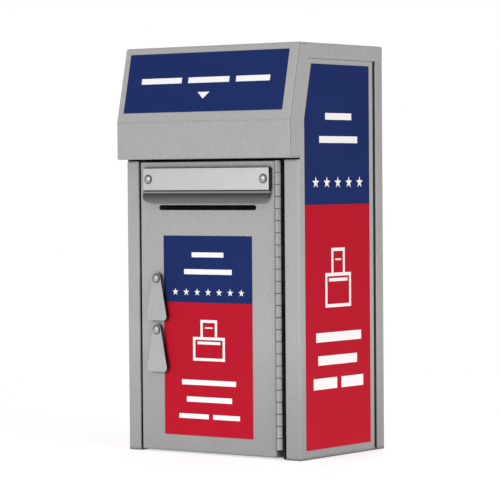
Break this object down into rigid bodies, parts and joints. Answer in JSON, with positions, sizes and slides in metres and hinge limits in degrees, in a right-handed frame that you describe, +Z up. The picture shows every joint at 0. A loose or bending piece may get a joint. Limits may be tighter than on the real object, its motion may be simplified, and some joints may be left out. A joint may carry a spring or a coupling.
{
  "type": "wall ballot box",
  "caption": "Folded steel ballot box with a sloped hood, a slotted front door on a continuous hinge, cam locks behind swinging covers, and plain vinyl signs.",
  "frame": {"origin": "centre of the underside of the whole box, with the hood's reach counted in its depth", "axes": "+Z up, +Y towards the back that goes on the wall, +X to the right as one faces the door"},
  "size_m": [0.4646, 0.346, 0.876],
  "materials": {
    "coated_steel": "satin powder coat over sheet steel",
    "galvanised_steel": "galvanised sheet",
    "hinge_steel": "steel with a light coat",
    "brushed_stainless": "brushed stainless",
    "dark_coat": "dark grey textured coat",
    "zinc_hardware": "zinc plated",
    "cover_steel": "satin coat over steel plate",
    "lock_chrome": "chromed",
    "lock_core": "nickel",
    "cam_steel": "zinc plated",
    "gasket_foam": "closed cell foam",
    "sign_vinyl": "printed vinyl, blue above red, white marks"
  },
  "bodies": {
    "cabinet": {"left_side_panel": "coated_steel", "right_side_panel": "coated_steel", "hood_front": "coated_steel", "roof_panel": "coated_steel", "back_panel": "coated_steel", "floor_panel": "coated_steel", "hinge_angle": "coated_steel", "frame_hinge_leaf": "hinge_steel", "hinge_pin": "hinge_steel", "frame_hinge_rivets": "hinge_steel", "door_gasket": "gasket_foam", "hood_sign": "sign_vinyl", "left_side_sign": "sign_vinyl", "right_side_sign": "sign_vinyl"},
    "door": {"door_panel": "coated_steel", "door_hinge_leaf": "hinge_steel", "door_hinge_rivets": "hinge_steel", "clamp_bar": "brushed_stainless", "drip_guard": "dark_coat", "clamp_bar_washers": "zinc_hardware", "clamp_bar_bolts": "zinc_hardware", "clamp_bar_nuts": "zinc_hardware", "ballot_baffle": "galvanised_steel", "lock_cover_bolts": "zinc_hardware", "lock_cover_nuts": "zinc_hardware", "lock_cover_spacers": "zinc_hardware", "lock_nuts": "zinc_hardware", "upper_lock_housing": "lock_chrome", "lower_lock_housing": "lock_chrome", "front_sign": "sign_vinyl"},
    "upper_cover": {"upper_lock_cover": "cover_steel"},
    "lower_cover": {"lower_lock_cover": "cover_steel"},
    "upper_lock": {"upper_lock_plug": "lock_core", "upper_lock_cam": "cam_steel", "upper_cam_screw": "zinc_hardware"},
    "lower_lock": {"lower_lock_plug": "lock_core", "lower_lock_cam": "cam_steel", "lower_cam_screw": "zinc_hardware"}
  },
  "joints": [
    {"name": "door_hinge", "type": "hinge", "parent": "cabinet", "child": "door", "pos_m": [0.1778, -0.141, 0.3248], "axis": [0, 0, 1], "range_deg": [0, 120]},
    {"name": "upper_cover_swing", "type": "hinge", "parent": "door", "child": "upper_cover", "pos_m": [-0.1435, -0.1493, 0.3766], "axis": [0, 1, 0], "continuous": true},
    {"name": "lower_cover_swing", "type": "hinge", "parent": "door", "child": "lower_cover", "pos_m": [-0.1435, -0.1493, 0.2654], "axis": [0, 1, 0], "range_deg": [-90, 90]},
    {"name": "upper_lock_turn", "type": "hinge", "parent": "door", "child": "upper_lock", "pos_m": [-0.1435, -0.141, 0.3146], "axis": [0, 1, 0], "range_deg": [0, 90]},
    {"name": "lower_lock_turn", "type": "hinge", "parent": "door", "child": "lower_lock", "pos_m": [-0.1435, -0.141, 0.2034], "axis": [0, 1, 0], "range_deg": [0, 90]}
  ]
}
